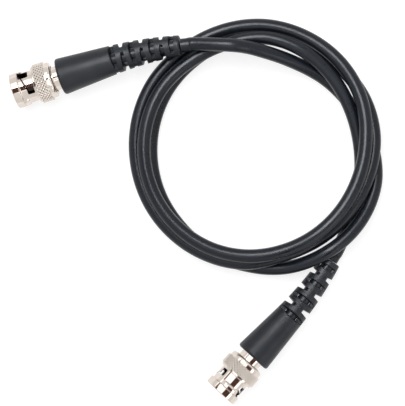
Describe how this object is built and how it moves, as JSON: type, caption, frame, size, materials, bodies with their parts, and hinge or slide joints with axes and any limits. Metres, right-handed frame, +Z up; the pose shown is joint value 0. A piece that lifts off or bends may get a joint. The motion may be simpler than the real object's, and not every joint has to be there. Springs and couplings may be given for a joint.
{
  "type": "coaxial patch lead",
  "caption": "Flexible coaxial patch lead with a bayonet-lock plug, slotted strain relief and free-turning coupling nut at each end, laid in a loose coil.",
  "frame": {"origin": "under the middle of the box round the two plugs, on the surface that the lead lies on", "axes": "+Z up from that surface; +Y and +X lie in it, with plug a on the -X side and plug b on the -Y side"},
  "size_m": [0.1371, 0.1408, 0.0171],
  "materials": {
    "nickel": "bright nickel plate on brass",
    "spring_steel": "plain spring steel",
    "gold": "gold plate on brass",
    "copper": "bare copper",
    "fluoropolymer": "translucent white, smooth",
    "silicone": "matt silicone rubber",
    "boot_vinyl": "matt black vinyl with a fine grain",
    "jacket_vinyl": "satin black vinyl"
  },
  "bodies": {
    "lead": {"plug_body_a": "nickel", "insulator_a": "fluoropolymer", "centre_pin_a": "gold", "gasket_a": "silicone", "wave_washer_a": "spring_steel", "conductor_end_a": "copper", "core_end_a": "fluoropolymer", "braid_end_a": "copper", "crimp_ferrule_a": "nickel", "jacket_end_a": "jacket_vinyl", "boot_a": "boot_vinyl", "plug_body_b": "nickel", "insulator_b": "fluoropolymer", "centre_pin_b": "gold", "gasket_b": "silicone", "wave_washer_b": "spring_steel", "conductor_end_b": "copper", "core_end_b": "fluoropolymer", "braid_end_b": "copper", "crimp_ferrule_b": "nickel", "jacket_end_b": "jacket_vinyl", "boot_b": "boot_vinyl", "coax_cable": "jacket_vinyl"},
    "washer_a": {"thrust_washer_a": "nickel"},
    "nut_a": {"coupling_nut_a": "nickel"},
    "washer_b": {"thrust_washer_b": "nickel"},
    "nut_b": {"coupling_nut_b": "nickel"}
  },
  "joints": [
    {"name": "nut_float_a", "type": "slide", "parent": "lead", "child": "washer_a", "axis": [-0.9521, -0.2984, -0.0663], "range_m": [0, 0.0008], "stiffness_N_per_m": 4000, "deforming": ["wave_washer_a"]},
    {"name": "nut_turn_a", "type": "hinge", "parent": "washer_a", "child": "nut_a", "pos_m": [-0.05286, 0.049, 0.00708], "axis": [-0.9521, -0.2984, -0.0663], "continuous": true},
    {"name": "nut_float_b", "type": "slide", "parent": "lead", "child": "washer_b", "axis": [-0.6765, -0.7331, 0.0698], "range_m": [0, 0.0008], "stiffness_N_per_m": 4000, "deforming": ["wave_washer_b"]},
    {"name": "nut_turn_b", "type": "hinge", "parent": "washer_b", "child": "nut_b", "pos_m": [0.02069, -0.05859, 0.00778], "axis": [-0.6765, -0.7331, 0.0698], "continuous": true}
  ]
}
